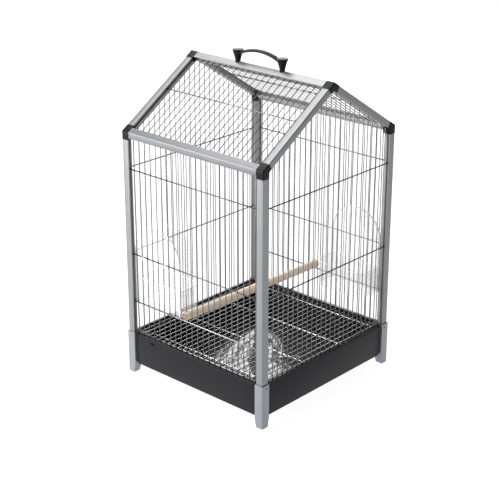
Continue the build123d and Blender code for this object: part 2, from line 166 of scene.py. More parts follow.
def skin(grid):
    """Mesh of a grid of points (rows, columns, 3) whose rows are closed loops. Each cell is a
    face, and flat caps close the first and last rows. The faces are turned to point outwards:
    the sum of the cones from the middle to each face is the volume, which has to be positive."""
    rows, columns = grid.shape[:2]
    index = np.arange(rows * columns).reshape(rows, columns)
    index = np.hstack([index, index[:, :1]])
    cells = np.stack([index[:-1, :-1], index[:-1, 1:], index[1:, 1:], index[1:, :-1]], -1)
    cells = cells.reshape(-1, 4)
    faces = cells.tolist() + [index[0, -2::-1].tolist(), index[-1, :-1].tolist()]
    points = grid.reshape(-1, 3)
    middle = points.mean(0)
    one, two, three, four = (points[cells] - middle).transpose(1, 0, 2)
    volume = np.sum(one * (np.cross(two, three) + np.cross(three, four)))
    for row, sign in ((0, -1), (-1, 1)):
        loop = grid[row] - middle
        volume += sign * np.sum(loop[0] * np.cross(loop[1:-1], loop[2:]))
    if volume < 0:
        faces = [face[::-1] for face in faces]
    return points, faces


def joined(*shapes):
    """Several meshes as one."""
    points, faces, count = [], [], 0
    for more, cells in shapes:
        points.append(more)
        faces += [[corner + count for corner in cell] for cell in cells]
        count += len(more)
    return np.concatenate(points), faces


def mirrored(shape, sx, sy):
    """A mesh made at -X and -Y, mirrored to the side of each axis that its sign names."""
    points, faces = shape
    if sx * sy < 0:
        faces = [face[::-1] for face in faces]
    return points * (-sx, -sy, 1), faces


record = frame["record"]
body_of = {node: body for body, nodes in record["behaviour"]["bodies"].items() for node in nodes}


def make(name, shape, finish, node, inner=None, inside=None):
    """Blender object of a mesh. It stands for a CAD node, and rides on that node's body. Faces
    whose middle the function inside picks out have the inner finish."""
    points, faces = shape
    mesh = bpy.data.meshes.new(name)
    mesh.from_pydata(points.tolist(), [], faces)
    mesh.polygons.foreach_set("use_smooth", np.ones(len(faces), bool))
    mesh.set_sharp_from_angle(angle=math.radians(35))
    mesh.materials.append(finish.material)
    if inner:
        mesh.materials.append(inner.material)
        middle = np.empty(3 * len(faces), np.float32)
        mesh.polygons.foreach_get("center", middle)
        mesh.polygons.foreach_set("material_index", inside(middle.reshape(-1, 3)).astype(np.int32))
    piece = bpy.data.objects.new(name, mesh)
    bpy.context.scene.collection.objects.link(piece)
    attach(piece, body_of[node])
    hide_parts(node)


def joining(outer, inner):
    """Faces that join two rims, corner by corner."""
    return [[outer[k - 1], outer[k], inner[k], inner[k - 1]] for k in range(len(outer))]


def turns(count):
    """Angles of points evenly round a circle."""
    return np.linspace(0, 2 * math.pi, count, endpoint=False)


def unit(rows):
    """Rows of vectors, each brought to length one."""
    return rows / np.linalg.norm(rows, axis=1)[:, None]


def rounded(corners, radius, inset=0.0, steps=5):
    """Outline with round corners. It is first moved in by inset. Then each corner becomes an arc
    about the point that lies one radius from both its sides, from one side's foot to the other's.
    An inset shortens the radius of a corner that points out, and lengthens one that points in."""
    corners = np.asarray(corners, float)
    after = np.roll(corners, -1, 0)
    back, ahead = unit(np.roll(corners, 1, 0) - corners), unit(after - corners)
    area = np.sum(corners[:, 0] * after[:, 1] - corners[:, 1] * after[:, 0])
    out = np.sign(ahead[:, 0] * back[:, 1] - ahead[:, 1] * back[:, 0])[:, None] * np.sign(area)
    half = np.arccos(np.clip(np.sum(back * ahead, 1), -1, 1))[:, None] / 2
    middle = unit(back + ahead)
    corners = corners + middle * (out * inset / np.sin(half))
    smallest = 0.0001
    radius = np.broadcast_to(radius, len(corners))[:, None]
    radius = np.maximum(radius - out * inset, smallest)
    centre = corners + middle * (radius / np.sin(half))
    first = corners + back * (radius / np.tan(half)) - centre
    last = corners + ahead * (radius / np.tan(half)) - centre
    turn = math.pi - 2 * half
    t = np.linspace(0, 1, steps + 1)
    a = np.sin((1 - t) * turn) / np.sin(turn)
    b = np.sin(t * turn) / np.sin(turn)
    arcs = centre[:, None] + first[:, None] * a[..., None] + last[:, None] * b[..., None]
    return arcs.reshape(-1, 2)


def stacked(axis, rows):
    """Grid of flat loops, each at its own place on an axis."""
    return np.array([np.insert(loop, axis, place, axis=1) for place, loop in rows])


tub_low, tub_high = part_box("base_tub")
leg_low, leg_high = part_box("leg_front_left")
lip = 0.0015                    # how far the rim stands proud of the wall
tub_x, tub_y = tub_high[0] - lip, tub_high[1] - lip
leg_gap = 0.0008
lip_gap = 0.0003
tub_step = tub_x + leg_high[0] + leg_gap
tub_floor, tub_top = tub_low[2], tub_high[2]
tub_wall = 0.0025
rim_wide = 0.0085
lip_tall = 0.008
ledge_wide = 0.016
ledge_drop = 0.005              # from the rim's top to the ledge
slot_mid = 0.135
slot_half = 0.008
slot_tall = 0.0035
floor_round = 0.003


def both(middle, half):
    """The two ends of a range, from its middle and half its length."""
    return middle - half, middle + half


def tub_ring(inset):
    """Closed loop round the tub: a rectangle with a square step at each corner. Its long sides
    carry extra points at the ends of the slots, so that whole faces can be left out there."""
    x, y = tub_x - inset, tub_y - inset
    step = tub_step + (lip - leg_gap + lip_gap if inset < 0 else 0)
    half = [(x, y - step), (x - step, y - step), (x - step, y), (step - x, y), (step - x, y - step),
            (-x, y - step)]
    outline = half + [(-a, -b) for a, b in half]
    corner, step_foot = max(0.007 - inset, 0.0015), 0.0006
    loop = rounded(outline, [corner, step_foot, corner] * 4)
    per_side = len(loop) // 2
    low, high = both(slot_mid, slot_half)
    left = np.array([(-x, cut) for cut in (high, low, -low, -high)])
    return np.concatenate([loop[:per_side], left, loop[per_side:], -left])


def tub_shape():
    """Rows of the tub's skin, from the edge of its underside, up the outside, over the rim and
    down the inside to the floor. Where a slot is, the faces of both walls are left out and four
    faces join the two openings."""
    lip_low = tub_top - lip_tall
    slot_top = lip_low - 0.0005
    slot_low = slot_top - slot_tall
    under_rim = tub_top - tub_wall
    ledge = tub_top - ledge_drop
    under_ledge = ledge - tub_wall
    floor = tub_floor + tub_wall
    foot, crisp, lip_round, rim_round, ledge_round = 0.0012, 0.0004, 0.0008, 0.0006, 0.0005
    bend = 0.3 * floor_round
    outside = [(foot, tub_floor), (crisp, tub_floor + crisp), (0.0, tub_floor + foot), (0.0, slot_low),
               (0.0, slot_top), (0.0, lip_low), (crisp - lip, lip_low), (-lip, lip_low + crisp),
               (-lip, tub_top - lip_round), (lip_round / 4 - lip, tub_top - lip_round / 4),
               (lip_round - lip, tub_top)]
    inside = [(rim_wide - rim_round, tub_top), (rim_wide, tub_top - rim_round), (rim_wide, under_rim),
              (tub_wall, under_rim), (tub_wall, ledge), (ledge_wide - ledge_round, ledge),
              (ledge_wide, ledge - ledge_round), (ledge_wide, under_ledge), (tub_wall, under_ledge),
              (tub_wall, slot_top), (tub_wall, slot_low), (tub_wall, floor + floor_round),
              (tub_wall + bend, floor + bend), (tub_wall + floor_round, floor)]
    grid = stacked(2, [(height, tub_ring(inset)) for inset, height in outside + inside])
    points, faces = skin(grid)
    index = np.arange(len(points)).reshape(grid.shape[:2])
    columns = grid.shape[1]
    outer_row = outside.index((0.0, slot_low))
    inner_row = len(outside) + inside.index((tub_wall, slot_top))
    half = (columns - 8) // 2
    starts = [half, half + 2, columns - 4, columns - 2]
    left_out, walls = set(), []
    for start in starts:
        end = (start + 1) % columns
        rims = [index[low, [start, end]].tolist() + index[high, [end, start]].tolist()
                for low, high in ((outer_row, outer_row + 1), (inner_row + 1, inner_row))]
        left_out.update(map(frozenset, rims))
        walls += joining(*rims)
    return points, [face for face in faces if frozenset(face) not in left_out] + walls


tub_tones = (0.0100, 0.0096, 0.0115), (0.0165, 0.0158, 0.0190)
tub_finish = dull_plastic("tub plastic", *tub_tones, 0.34, 1400.0)
polished_floor = dull_plastic("tub floor plastic", *tub_tones, 0.34, 1400.0)
polished_from = -0.095          # the floor is worn dull nearer to the left wall
polished_floor.set(Coat_Weight=polished_floor.at(0) > polished_from, Coat_Roughness=0.05,
                   Coat_IOR=1.9)
make("tub", tub_shape(), tub_finish, "base_tub", inner=polished_floor,
     inside=lambda at: np.abs(at[:, 2] - tub_floor - tub_wall) < 0.0002)


# Legs: aluminium sleeves, closed below, with a square pocket for the foot of a post. Their two
# inner sides slope in towards the floor, and the outer corner stays upright. A short slot under
# the seam on each gable side takes the tool that frees the post.
leg_side = leg_high[0] - leg_low[0]
leg_wall = 0.0015
leg_tip = 0.0185
taper_height = 0.024
seam = leg_high[2]
pocket_deep = 0.044
corner_round = 0.002


def extruded_metal(name, tone, axis, turn=(0, 0, 0)):
    """Satin anodised extrusion: fine die lines along its length, which lies on the given axis, in
    the colour, the roughness and the bump, under broad faint clouds where it has been handled."""
    finish = Finish(name, Metallic=0.5)
    scale = [14 if k == axis else 1100 for k in range(3)]
    lines = finish.noise(finish.place(scale, turn), 1.0, detail=4.0)
    clouds = finish.noise(finish.place(), 22.0)
    tone = np.array(tone)
    finish.set(
        Base_Color=finish.mix(lines * 0.6 + clouds * 0.4, tone * 0.84, tone * 1.16),
        Roughness=0.30 + lines * 0.10 + clouds * 0.06,
        Normal=finish.bump(lines, 0.12, 0.0001),
    )
    return finish


def rectangle(low, high):
    """Corners of a rectangle between two of them."""
    return [(low[0], low[1]), (high[0], low[1]), (high[0], high[1]), (low[0], high[1])]


def leg_shape():
    """Loops up the outside of the sleeve, over its lip and down into the pocket. Each loop is a
    square that stands on the outer corner, and only that corner has a large round."""
    foot, lip_round, pocket_round = 0.0008, 0.0004, 0.0003
    outer = np.array([corner_round, 0.0006, 0.0006, 0.0006])
    inner = outer + 0.0008
    rows = [(leg_tip, outer, foot, 0.0), (leg_tip, outer, 0.0, foot),
            (leg_side, outer, 0.0, taper_height), (leg_side, outer, 0.0, seam - lip_round),
            (leg_side, outer, lip_round, seam), (leg_side, inner, leg_wall - pocket_round, seam),
            (leg_side, inner, leg_wall, seam - pocket_round),
            (leg_side, inner, leg_wall, seam - pocket_deep)]
    grid = stacked(2, [(height, rounded(rectangle((0, 0), (side, side)), rounds, inset))
                       for side, rounds, inset, height in rows])
    return skin(grid + (leg_low[0], leg_low[1], 0))


def pierced(shape, x, y, z):
    """Rectangular hole that runs along Y between two values of each coordinate. A flat face at
    either y that takes in the rectangle gives way to four faces round it, and four walls join
    the two rims. A floor closes the hole where the second y has no such face."""
    points, faces = shape
    corners = np.array(rectangle(*zip(x, z)))
    rims = (np.arange(8).reshape(2, 4) + len(points)).tolist()
    points = np.concatenate([points, *stacked(1, [(depth, corners) for depth in y])])
    middle = np.mean(x), np.mean(z)
    order = {(False, False): 0, (True, False): 1, (True, True): 2, (False, True): 3}
    kept, through = [], False
    for face in faces:
        here = points[face]
        level = [k for k in (0, 1) if len(face) == 4 and np.abs(here[:, 1] - y[k]).max() < 1e-6]
        low, high = here.min(0), here.max(0)
        if level and low[0] < x[0] and high[0] > x[1] and low[2] < z[0] and high[2] > z[1]:
            rim = rims[level[0]]
            near = [rim[order[point[0] > middle[0], point[2] > middle[1]]] for point in here]
            kept += joining(face, near)
            through = through or level[0] == 1
        else:
            kept.append(face)
    return points, kept + joining(*rims) + ([] if through else rims[1:])


def make_each(name, shape, finish, node, places, **inner):
    """A piece for each place: its mirror images, or itself turned half round."""
    for place, signs in places.items():
        make(name.format(place), mirrored(shape, *signs), finish, node.format(place), **inner)


release_x, release_half_x = -0.213, 0.003
release_z, release_half_z = seam - 0.009, 0.0011
leg = pierced(leg_shape(), both(release_x, release_half_x), (leg_low[1], leg_low[1] + leg_wall),
              both(release_z, release_half_z))
CORNERS = {"front_left": (-1, -1), "front_right": (1, -1),
           "rear_left": (-1, 1), "rear_right": (1, 1)}
leg_metal = extruded_metal("leg extrusion", (0.255, 0.255, 0.292), 2)
make_each("sleeve_{}", leg, leg_metal, "leg_{}", CORNERS)


# Leg screws: plated pan heads inside the tub, each with a cross recess, that draw the tub's
# corner steps against the legs.


def cross_recess(head, face, axis, side):
    """Two crossed bars sunk in a screw's head: the head's face is drawn as a ring round a plus
    sign, whose floor lies lower. head is the face's radius, and face the point at its middle."""
    arm, wide, deep = 0.55 * head, 0.16 * head, 0.0008
    quarter = np.array([(arm, -wide), (arm, wide), (wide, wide)])
    left = quarter[:, ::-1] * (-1, 1)
    plus = np.concatenate([quarter, left, -quarter, -left])
    loops = stacked(0, [(0.0, unit(plus) * head), (0.0, plus), (-deep, plus * 0.9)])
    return loops @ np.array([axis, side, np.cross(axis, side)]) + face


shank_radius, head_radius, head_tall = 0.002, 0.004, 0.0023
x_axis, y_axis, z_axis = np.eye(3)


def screw(head_at, axis, side, length):
    """Pan head screw. The head's skirt rises and bends over in a quarter circle to a flat face
    with a cross recess, and the shank runs the other way."""
    top = 0.75 * head_radius
    profile = [(-length, shank_radius * 0.6), (-length + 0.001, shank_radius), (0, shank_radius),
               (0, head_radius)]
    profile += [
        (head_tall * (0.35 + 0.65 * math.sin(bend)), top + (head_radius - top) * math.cos(bend))
        for bend in np.linspace(0, math.pi / 2, 5)[:-1]]
    other = np.cross(axis, side)
    face = cross_recess(top, head_at + axis * head_tall, axis, side)
    angle = np.arctan2((face[0] - head_at) @ other, (face[0] - head_at) @ side)
    spoke = np.cos(angle)[:, None] * side + np.sin(angle)[:, None] * other
    rows = np.array(profile)
    grid = rows[:, :1, None] * axis + rows[:, 1:, None] * spoke[None] + head_at
    return skin(np.concatenate([grid, face]))


def plated_metal(name, tone, roughness):
    """Bright plating: nearly even, with faint drawing marks and slightly dull patches."""
    finish = Finish(name, Metallic=1.0)
    where = finish.place()
    patches = finish.noise(where, 60.0)
    marks = finish.noise(where, 700.0, detail=2.0)
    finish.set(
        Base_Color=finish.mix(patches, [tone * 0.92] * 3, (tone * 1.04, tone * 1.04, tone * 1.06)),
        Roughness=roughness + patches * 0.08,
        Normal=finish.bump(marks, 0.08, 0.0001),
    )
    return finish


screw_low, screw_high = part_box("leg_screws")
leg_screw_long = 0.0153
screw_head = np.array([leg_high[0] + leg_gap + tub_wall, screw_low[1] + head_radius,
                       (screw_low[2] + screw_high[2]) / 2])
leg_screw = screw(screw_head, x_axis, y_axis, leg_screw_long)
screw_finish = plated_metal("screw plating", 0.60, 0.28)
make("screws_of_legs", joined(*[mirrored(leg_screw, *signs) for signs in CORNERS.values()]),
     screw_finish, "leg_screws")


# Floor grille: close wire rows welded across four stiffeners, which lie on the tub's ledge. The
# rows next to the ends are heavier, and the end rows are shorter, to clear the legs.


def wires(starts, ends, radius, count=10):
    """Straight round wires with softened ends. Each is a stack of rings round the line from its
    start to its end, narrower at the first and last two."""
    starts, ends = np.asarray(starts, float), np.asarray(ends, float)
    line = ends - starts
    length = np.linalg.norm(line, axis=1)
    along = line / length[:, None]
    helper = np.where(np.abs(along[:, 2:]) < 0.9, [[0, 0, 1]], [[1, 0, 0]])
    side = unit(np.cross(along, helper))
    other = np.cross(along, side)
    angle = turns(count)[:, None]
    spoke = np.cos(angle) * side[:, None] + np.sin(angle) * other[:, None]
    soft = radius * np.array([0.0, 0.12, 0.45])
    girth = radius * np.array([0.55, 0.86, 1.0, 1.0, 0.86, 0.55])
    down = np.concatenate([np.tile(soft, (len(starts), 1)), length[:, None] - soft[::-1]], 1)
    centre = starts[:, None] + down[..., None] * along[:, None]
    return joined(*map(skin, centre[:, :, None] + girth[None, :, None, None] * spoke[:, None]))


def spread(x, y, z):
    """Points whose x, y and z are rows or grids of values. A single value stands for them all."""
    return np.stack(np.broadcast_arrays(x, y, z), -1)


def welds(centres, size):
    """Resistance welds: at each crossing, a small flattened ball of four rings of eight."""
    tilt = np.linspace(-0.8, 0.8, 4)[:, None] * math.pi / 2
    angle = turns(8)
    ball = spread(np.cos(tilt) * np.cos(angle), np.cos(tilt) * np.sin(angle), np.sin(tilt)) * size
    return joined(*[skin(ball + centre) for centre in centres])


grille_low, grille_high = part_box("floor_grille")
row_wire = 0.0011
heavy_wire = 0.0015
stiff_low = grille_low[2]
row_rest = stiff_low + 2 * heavy_wire
row_pitch = 0.0162
row_weld = (0.0013, 0.0013, 0.0009)
rows_each_way = 12
end_row_x = 0.192
stiff_x = np.array([-0.1905, -0.064, 0.064, 0.1905])


def grille_shape():
    """Rows along X at a steady pitch on stiffeners along Y, with a weld at every crossing."""
    number = np.arange(-rows_each_way, rows_each_way + 1)
    y = number * row_pitch
    heavy = np.abs(number) == rows_each_way - 1
    reach = np.where(np.abs(number) == rows_each_way, end_row_x, grille_high[0])
    z = row_rest + np.where(heavy, heavy_wire, row_wire)
    low, high = (spread(end, y, z) for end in both(0, reach))
    front, rear = (spread(stiff_x, end, stiff_low + heavy_wire) for end in both(0, grille_high[1]))
    crossings = spread(stiff_x[:, None], y, row_rest).reshape(-1, 3)
    return joined(wires(low[~heavy], high[~heavy], row_wire),
                  wires(low[heavy], high[heavy], heavy_wire),
                  wires(front, rear, heavy_wire), welds(crossings, row_weld))


make("grille_wires", grille_shape(), plated_metal("grille plating", 0.50, 0.22), "floor_grille")


# Posts: square aluminium extrusions, with a groove in each of the two inner sides that
# takes the ends of the rails. They stand in the leg sleeves and end under the eave caps.
groove_low = 0.0032
groove_high = 0.0094
groove_deep = 0.0045
post_side = 0.018
post_low, post_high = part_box("post_front_left")
half_wide, half_deep = -post_low[0], -post_low[1]
eave_height = seam + 0.4955
ridge_height = seam + 0.639
slope = math.atan2(ridge_height - eave_height, half_wide)
cos_slope, tan_slope = math.cos(slope), math.tan(slope)
skirt_rise = 0.009              # the caps' skirts end this much higher than the posts of the CAD


def groove_outline(u, v, cut=0.0):
    """Corners of a section u by v from its outer corner, and their rounds. Each inner side drops
    into a groove and comes back. A slanting side of a given cut can take the inner corner's
    place."""
    low, high = groove_low, groove_high
    corners = [(0, 0), (u, 0), (u, low), (u - groove_deep, low), (u - groove_deep, high), (u, high),
               (u, v), (high, v), (high, v - groove_deep), (low, v - groove_deep), (low, v), (0, v)]
    crisp, soft, inner = 0.0003, 0.0004, 0.0006
    rounds = [corner_round, soft, soft, crisp, crisp, soft, inner, soft, crisp, crisp, soft, soft]
    if cut:
        corners[6:7] = [(u, v - cut), (u - cut, v)]
        rounds[6:7] = [inner, inner]
    return corners, rounds


def bar(corners, rounds, origin, u_axis, v_axis, run, stops=()):
    """Section carried straight along run, with extra rows at the given distances. Its ends are a
    quarter of a millimetre smaller, so that their edges catch the light."""
    edge = 0.00025
    outline, small = (rounded(corners, rounds, inset, 4) for inset in (0, edge))
    run = np.asarray(run, float)
    length = np.linalg.norm(run)
    places = [edge, *stops, length - edge]
    axes = np.array([u_axis, v_axis], float)
    rows = [outline @ axes + run * place / length for place in places]
    return skin(np.array([small @ axes, *rows, small @ axes + run]) + np.asarray(origin, float))


def behind_faces(at):
    """Which points lie deeper in the frame than its flat outer faces: they get the lighter tone that
    is painted light.
    """
    wall_face, roof_face = 0.0006, 0.0008
    inside = (np.abs(at[:, :2]) < (half_wide - wall_face, half_deep - wall_face)).all(1)
    below_roof = ridge_height - np.abs(at[:, 0]) * tan_slope - at[:, 2]
    return inside & (below_roof > roof_face)


cap_low = post_high[2] + skirt_rise
post_long = cap_low - post_low[2]
inner_cut = 0.0075
key_slots = (0.0130, 0.0197)    # below the cap
key_x = post_low[0] + 0.0057
key_wide, key_tall, key_deep = 0.003, 0.0016, 0.0016
post = bar(*groove_outline(post_side, post_side, inner_cut), post_low, (1, 0, 0), (0, 1, 0),
           (0, 0, post_long), stops=(post_long - sum(key_slots) / 2,))
for down in key_slots:
    post = pierced(post, both(key_x, key_wide / 2), (post_low[1], post_low[1] + key_deep),
                   both(cap_low - down, key_tall / 2))
upright_metal = extruded_metal("upright extrusion", (0.215, 0.218, 0.223), 2)
# Painted light: the faces inside the frame, which sit in the cage's shade, get a lighter tone of the
# same aluminium than its outer faces.
lightened_inner_sides = {"inner": extruded_metal("inner sides", (0.31, 0.31, 0.31), 2), "inside": behind_faces}
make_each("upright_{}", post, upright_metal, "post_{}", CORNERS, **lightened_inner_sides)


# Channel strips: grey plastic pressed into the posts' grooves, seen as a dark line down each
# post. They grip the ends of the rails, and only their lips show. Their node keeps the shape of the
# CAD.
strip_finish = dull_plastic("strip plastic", [0.26] * 3, [0.31] * 3, 0.5, 900.0)
strips = frame["nodes"]["post_channel_strips"]
strips.data.materials.clear()
strips.data.materials.append(strip_finish.material)


# Eave rails: extrusions that close the two long sides. One face stands upright over the wires,
# and one lies in the roof. The side wires end in the groove below, and the roof wires in the
# groove of the sloping edge.
eave_top = 0.015
eave_face = 0.0145
rail_deep = 0.015
slope_run = half_wide / cos_slope
up_slope = np.array([cos_slope, 0, math.sin(slope)])
into_roof = np.array([math.sin(slope), 0, -cos_slope])
eave_line = np.array([-half_wide, 0, eave_height])


def on_slope(up, into, y=0.0):
    """Point of the left roof plane: a distance up from the eave, another below the plane."""
    return eave_line + up * up_slope + into * into_roof + (0, y, 0)


def flat(*points):
    """Across and height of some points, for an outline."""
    return [(point[0], point[2]) for point in points]


def slope_groove(start, deep):
    """Corners of a groove in an edge that lies in the slope, from the outside in."""
    return [on_slope(up, into) for up, into in ((start, groove_low), (start + deep, groove_low),
                                                (start + deep, groove_high), (start, groove_high))]


def rail_bar(corners, rounds):
    """A rail along Y, from its outline across the cage."""
    return bar(corners, rounds, (0, -rail_half, 0), (1, 0, 0), (0, 0, 1), (0, 2 * rail_half, 0))


eave_lip = 0.0115               # width of the rail's foot
rail_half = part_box("eave_rail_left")[1][1]
foot = eave_height - eave_face
eave_corners = [(-half_wide, foot), (-half_wide, eave_height)]
eave_corners += flat(on_slope(eave_top, 0), *slope_groove(eave_top, -groove_deep),
                     on_slope(eave_top, rail_deep))
eave_corners += [(across - half_wide, foot + up) for across, up in (
    (eave_lip, 0), (groove_high, 0), (groove_high, groove_deep), (groove_low, groove_deep),
    (groove_low, 0))]
eave_rounds = [0.0004, corner_round] + [0.0004] * 6 + [0.0006] + [0.0004] * 4
# Painted shade: the eave rails get a darker tone of the frame's one aluminium than the posts, set for
# how dark they read under the light.
eave_metal = extruded_metal("eave extrusion", (0.145, 0.148, 0.152), 1)
SIDES = {"left": (-1, -1), "right": (1, -1)}
make_each("eave_bar_{}", rail_bar(eave_corners, eave_rounds), eave_metal, "eave_rail_{}", SIDES,
          **lightened_inner_sides)


# Rafters: extrusions like the posts, a little shallower and square at their inner corner, cut off
# straight at both ends. The caps hold them.
cap_reach = 0.022               # along the slope, from its foot and from the ridge
rafter = bar(*groove_outline(rail_deep, post_side), on_slope(cap_reach, 0, -half_deep), into_roof,
             (0, 1, 0), up_slope * (slope_run - 2 * cap_reach))
# Painted shade: the rafters get a slightly darker tone of the frame's aluminium than the posts and the
# ridge bar, set for how they read under the light.
for corner, (sx, sy) in CORNERS.items():
    metal = extruded_metal("rafter extrusion " + corner, (0.19, 0.193, 0.197), 0, (0, sx * slope, 0))
    make("roof_bar_" + corner, mirrored(rafter, sx, sy), metal, "rafter_" + corner, **lightened_inner_sides)


# Ridge bar: one extrusion whose two faces lie in the two slopes. The roof wires end in a slot
# under each face.
ridge_face = 0.017
ridge_deep = 0.013
slot_deep = 0.004
edge = slope_run - ridge_face
left_side = flat(on_slope(edge, 0), *slope_groove(edge, slot_deep), on_slope(edge, ridge_deep))
ridge_corners = [(0, ridge_height)] + left_side + [(-x, z) for x, z in left_side[::-1]]
ridge_rounds = [corner_round] + [0.0004] * 12
ridge_metal = extruded_metal("ridge extrusion", (0.22, 0.223, 0.227), 1)
make("ridge_beam", rail_bar(ridge_corners, ridge_rounds), ridge_metal, "ridge_bar")


# Eave caps: black moulded elbows, each from the head of a post over the end of the eave rail and
# round to the foot of a rafter. Their edges are well rounded, and a web fills the inner elbow.
proud = 0.0006
shell_deep = rail_deep + proud
black_tones = (0.006, 0.006, 0.0065), (0.010, 0.010, 0.011)
cap_finish = dull_plastic("cap plastic", *black_tones, 0.36, 1500.0)


def cap(corners, rounds, edge_round, heel=0.0):
    """Outline in X and Z carried along Y from the rail's end to the gable's face. The last rows
    shrink along a quarter circle, which rounds the edges of the face. Over the first rows no
    point lies lower than a quarter circle of the heel's radius, which rounds the lower end."""
    soft = 0.0003
    face = half_deep + proud
    rows = [(rail_half, soft, heel)]
    rows += [(rail_half + heel * (1 - math.cos(bend)) + soft, 0.0, heel * (1 - math.sin(bend)))
             for bend in np.linspace(0, math.pi / 2, 7)[1:]]
    rows += [(face - edge_round * (1 - math.sin(bend)), edge_round * (1 - math.cos(bend)), 0.0)
             for bend in np.linspace(0, math.pi / 2, 6)]
    bottom = np.min(corners, 0)[1]
    loops = []
    for depth, inset, lift in rows:
        across, height = rounded(corners, rounds, inset).T
        loops.append(spread(across, -depth, np.maximum(height, bottom + lift)))
    return skin(np.array(loops))


cap_x = half_wide + proud
cap_inner = half_wide - post_side - proud
cap_shoulder = eave_height + (proud / cos_slope - proud * tan_slope)
elbow = on_slope(cap_reach, shell_deep)
elbow_height = elbow[2] - (elbow[0] + cap_inner) * tan_slope
eave_cap_corners = [(-cap_x, cap_low), (-cap_x, cap_shoulder)]
eave_cap_corners += flat(on_slope(cap_reach, -proud), elbow)
eave_cap_corners += [(-cap_inner, elbow_height), (-cap_inner, cap_low)]
eave_cap = cap(eave_cap_corners, [0.0012, 0.004, 0.002, 0.0008, 0.009, 0.0008], 0.0024, heel=0.006)
make_each("elbow_{}", eave_cap, cap_finish, "eave_cap_{}", CORNERS)


# Ridge caps: black moulded chevrons, pressed over the heads of two rafters and the end of the
# ridge bar, which they hold together.
chevron = [(0, ridge_height + proud / cos_slope)]
chevron += flat(*(on_slope(slope_run - cap_reach, into) for into in (-proud, shell_deep)))
chevron += [(0, ridge_height - shell_deep / cos_slope)]
chevron += [(-x, z) for x, z in chevron[2:0:-1]]
ridge_cap = cap(chevron, [0.003, 0.001, 0.001, 0.003, 0.001, 0.001], 0.0016)
ENDS = {"front": (-1, -1), "rear": (-1, 1)}
make_each("peak_{}", ridge_cap, cap_finish, "ridge_cap_{}", ENDS)


# Side panels: plated wires. The uprights stand from the base's rim into the groove of the eave
# rail. Level wires are welded across them outside, and one along their feet inside. The ones
# outside, bar the low rail, get a darker tone of the same plating, which is painted shade.
upright_wire = 0.0011
rail_wire = 0.0015
low_rail_wire = 0.00175
roof_wire = 0.001
roof_rail_wire = 0.0012
wire_inset = 0.008              # of the uprights, from the frame's faces
side_x, gable_y = half_wide - wire_inset, half_deep - wire_inset
side_count = 22
side_pitch = 2 * (half_deep - post_side) / side_count
rest_gap = 0.0003               # between pieces that rest on each other
wire_foot = tub_top + rest_gap
wire_tuck = 0.003
foot_height = tub_top + rail_wire + 0.001
low_height, middle_height, high_height = seam + 0.081, seam + 0.2005, seam + 0.407
side_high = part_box("side_wires_left")[1]
leg_x_inside = half_wide - leg_side + (leg_side - post_side) / 2 - leg_gap
leg_y_inside = leg_x_inside - half_wide + half_deep
side_y = (np.arange(side_count) - (side_count - 1) / 2) * side_pitch


def pressed(on_wires, toward, size=0.0009):
    """Welds on a row of wires: points of their axes, moved by half of toward to their surface."""
    return welds(on_wires + np.asarray(toward) / 2, (size, size, size))


def side_panel():
    """Left side: uprights from their feet to their heads, and then each level wire."""
    low, high = (spread(-side_x, side_y, height) for height in (wire_foot, side_high[2]))
    shapes = [wires(low, high, upright_wire)]
    rows = [(low_height, low_rail_wire, -1), (middle_height, rail_wire, -1),
            (high_height, rail_wire, -1), (foot_height, rail_wire, 1)]
    for height, radius, way in rows:
        x = way * (upright_wire + radius) - side_x
        reach = side_high[1] if way < 0 else leg_y_inside
        shapes.append(wires([(x, -reach, height)], [(x, reach, height)], radius))
        shapes.append(pressed(spread(-side_x, side_y, height), (way * 2 * upright_wire, 0, 0)))
    return joined(*shapes)


def level_wires(at):
    """Which points lie on the thin level wires, outside the plane of a panel's uprights; the low rail
    is left out. They get the darker tone that is painted shade.
    """
    clear = upright_wire + 0.0002
    outside = (np.abs(at[:, 0]) > side_x + clear) | (np.abs(at[:, 1]) > gable_y + clear)
    return outside & (np.abs(at[:, 2] - low_height) > 2 * low_rail_wire)


wire_finish = plated_metal("wire plating", 0.17, 0.22)
# Painted shade: the level wires outside get a darker tone of the same plating as the uprights.
level_shade_finish = plated_metal("level wire painted shade", 0.06, 0.22)
level_shade_part = {"inner": level_shade_finish, "inside": level_wires}
make_each("wires_of_{}_side", side_panel(), wire_finish, "side_wires_{}", SIDES, **level_shade_part)


# Gable panels: plated uprights from the base's rim to the rafters, with two level wires welded
# across them outside, and one along their feet inside.
gable_count = 25
gable_pitch = 2 * (half_wide - post_side) / gable_count


def gable_panel():
    """Front gable. The tops of the uprights follow the roof, a little lower under the caps."""
    x = (np.arange(gable_count) - (gable_count - 1) // 2) * gable_pitch
    hidden = np.where((np.abs(x) > gable_pitch / 2) & (np.abs(x) < -elbow[0] - 2 * upright_wire),
                      rail_deep / cos_slope - wire_tuck, shell_deep / cos_slope + 0.0012)
    top = eave_height + (half_wide - np.abs(x)) * tan_slope - hidden
    shapes = [wires(spread(x, -gable_y, wire_foot), spread(x, -gable_y, top), upright_wire)]
    gap = upright_wire + rail_wire
    reach = half_wide - post_side + wire_tuck
    rows = [(middle_height, -gap, reach), (high_height, -gap, reach),
            (foot_height, gap, leg_x_inside)]
    for height, out, reach in rows:
        level_y = out - gable_y
        shapes.append(wires([(-reach, level_y, height)], [(reach, level_y, height)], rail_wire))
        toward = (0, math.copysign(2 * upright_wire, out), 0)
        shapes.append(pressed(spread(x, -gable_y, height), toward))
    return joined(*shapes)


make_each("wires_of_{}_gable", gable_panel(), wire_finish, "gable_wires_{}", ENDS, **level_shade_part)


# Roof panels: plated wires straight up each slope, from the groove of the eave rail to the slot
# of the ridge bar, with one level wire across them outside.
roof_rail_x = 0.101


